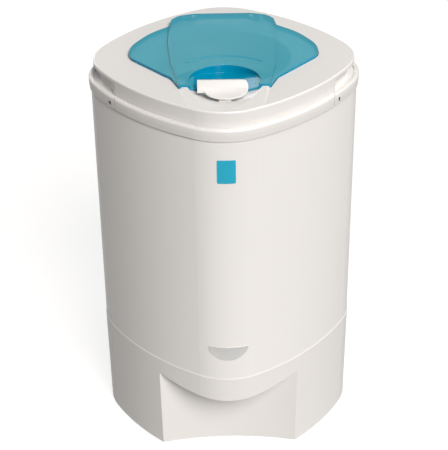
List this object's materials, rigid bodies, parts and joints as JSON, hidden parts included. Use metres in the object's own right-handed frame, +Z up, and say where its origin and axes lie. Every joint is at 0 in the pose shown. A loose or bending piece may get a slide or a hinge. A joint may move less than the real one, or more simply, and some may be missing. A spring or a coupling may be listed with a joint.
{
  "type": "laundry spin dryer",
  "caption": "Upright white spin dryer for laundry, with a clear blue hinged lid, a lift latch, a recessed foot for a drain bowl, and a braked spinning drum inside.",
  "frame": {"origin": "on the floor, on the axis of the drum", "axes": "+Z up along the drum axis; -Y towards the front corner, which holds the latch and the drain spout; +X to the right seen from the front"},
  "size_m": [0.4186, 0.4186, 0.6595],
  "materials": {
    "white_plastic": "glossy white moulding",
    "white_metal": "white gloss enamel",
    "clear_blue": "clear blue, glossy",
    "black_rubber": "matt",
    "black_plastic": "matt",
    "grey_plastic": "matt",
    "red_plastic": "matt",
    "bright_steel": "zinc plated",
    "spring_steel": "satin",
    "shaft_steel": "ground",
    "drum_steel": "stainless, satin",
    "cast_alloy": "as cast",
    "grey_iron": "dark",
    "friction_lining": "rough",
    "capacitor_can": "satin",
    "silver_badge": "brushed",
    "blue_label": "glossy film"
  },
  "bodies": {
    "cabinet": {"base_skirt": "white_plastic", "rubber_feet": "black_rubber", "body_shell": "white_metal", "body_screws": "bright_steel", "top_cover": "white_plastic", "grip_insert_left": "white_plastic", "grip_insert_right": "white_plastic", "lid_hinge_pins": "bright_steel", "latch_pin": "bright_steel", "latch_spring": "spring_steel", "microswitch": "black_plastic", "switch_screws": "bright_steel", "tub": "grey_plastic", "tub_gasket": "black_rubber", "tub_screws": "bright_steel", "bellows_seal": "black_rubber", "seal_clamp": "bright_steel", "drain_hose": "black_rubber", "drain_spout": "grey_plastic", "hose_clips": "bright_steel", "brake_pin": "shaft_steel", "brake_spring": "spring_steel", "brake_cable": "black_rubber", "motor_plate": "grey_iron", "motor_case": "shaft_steel", "upper_end_bell": "cast_alloy", "lower_end_bell": "cast_alloy", "stator": "grey_iron", "upper_bearing": "shaft_steel", "lower_bearing": "shaft_steel", "motor_bolts": "bright_steel", "rubber_mounts": "black_rubber", "mount_bolts": "bright_steel", "capacitor": "capacitor_can", "capacitor_clamp": "black_plastic", "wiring": "black_rubber", "cord_gland": "black_rubber", "badge_plate": "silver_badge", "round_label": "blue_label"},
    "lid": {"lid": "clear_blue"},
    "latch": {"latch_handle": "white_plastic"},
    "plunger": {"switch_plunger": "red_plastic"},
    "drum": {"spin_drum": "drum_steel", "drum_rim": "drum_steel", "drum_hub": "cast_alloy", "centre_cone": "drum_steel", "drum_shaft": "shaft_steel", "shaft_nut": "bright_steel", "brake_drum": "grey_iron", "rotor": "grey_iron"},
    "brake": {"brake_lever": "shaft_steel", "brake_pad": "friction_lining"}
  },
  "joints": [
    {"name": "lid_hinge", "type": "hinge", "parent": "cabinet", "child": "lid", "pos_m": [0, 0.144, 0.646], "axis": [-1, 0, 0], "range_deg": [0, 100]},
    {"name": "latch_pivot", "type": "hinge", "parent": "cabinet", "child": "latch", "pos_m": [0, -0.1525, 0.6365], "axis": [1, 0, 0], "range_deg": [0, 20], "stiffness_Nm_per_rad": 0.5, "springref_deg": -17.19},
    {"name": "plunger_slide", "type": "slide", "parent": "cabinet", "child": "plunger", "axis": [0, 1, 0], "range_m": [0, 0.002]},
    {"name": "brake_pivot", "type": "hinge", "parent": "cabinet", "child": "brake", "pos_m": [0.06, -0.058, 0.182], "axis": [0, 0, 1], "range_deg": [0, 3], "stiffness_Nm_per_rad": 0.2, "springref_deg": -11.46},
    {"name": "drum_spin", "type": "hinge", "parent": "cabinet", "child": "drum", "pos_m": [0, 0, 0.3], "axis": [0, 0, 1], "continuous": true}
  ],
  "couplings": [
    {"joint": "plunger_slide", "follows": "latch_pivot", "m_per_rad": 0.0057},
    {"joint": "brake_pivot", "follows": "latch_pivot", "ratio": 0.149}
  ]
}
